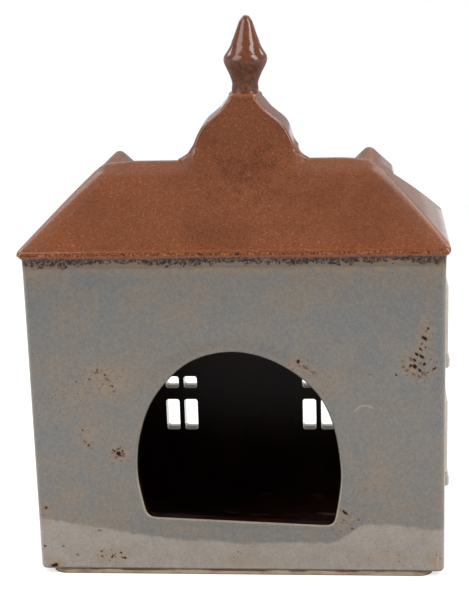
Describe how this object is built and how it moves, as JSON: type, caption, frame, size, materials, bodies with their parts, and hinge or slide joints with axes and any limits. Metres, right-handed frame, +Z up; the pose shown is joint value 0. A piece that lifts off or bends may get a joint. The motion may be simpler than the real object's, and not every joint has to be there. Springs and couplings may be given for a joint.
{
  "type": "tealight house",
  "caption": "Glazed ceramic tealight house with pierced windows, hipped roof, dormers, bell crest and finial, and an arched opening at the back for the tealight.",
  "frame": {"origin": "centre of the footprint on the table, at the bottom of the bare foot", "axes": "+Z up; the facade with the door looks along +Y, and the opening for the tealight looks along -Y; +X to the right seen from the opening's side"},
  "size_m": [0.173, 0.082, 0.2245],
  "materials": {
    "wall_glaze": "grey-blue gloss glaze, mottled beige",
    "roof_glaze": "terracotta brown gloss glaze",
    "cream_glaze": "cream gloss glaze",
    "door_glaze": "dark brown gloss glaze",
    "step_glaze": "grey gloss glaze",
    "bare_clay": "bare fired clay foot, glazed floor above"
  },
  "bodies": {
    "root": {"base_slab": "bare_clay", "crest_roundel": "cream_glaze", "door_knob": "roof_glaze", "door_leaf": "door_glaze", "door_surround": "cream_glaze", "doorstep": "step_glaze", "eave_moulding": "wall_glaze", "finial": "roof_glaze", "front_lower_window_1": "cream_glaze", "front_lower_window_2": "cream_glaze", "front_lower_window_3": "cream_glaze", "front_lower_window_4": "cream_glaze", "front_roof_slope": "roof_glaze", "front_upper_window_1": "cream_glaze", "front_upper_window_2": "cream_glaze", "front_upper_window_3": "cream_glaze", "front_upper_window_4": "cream_glaze", "front_upper_window_5": "cream_glaze", "front_wall": "wall_glaze", "left_dormer": "roof_glaze", "left_dormer_window": "cream_glaze", "left_lower_window": "cream_glaze", "left_roof_slope": "roof_glaze", "left_upper_window": "cream_glaze", "left_wall": "wall_glaze", "rear_roof_slope": "roof_glaze", "rear_wall": "wall_glaze", "ridge_crest": "roof_glaze", "right_dormer": "roof_glaze", "right_dormer_window": "cream_glaze", "right_lower_window": "cream_glaze", "right_roof_slope": "roof_glaze", "right_upper_window": "cream_glaze", "right_wall": "wall_glaze"}
  },
  "joints": []
}
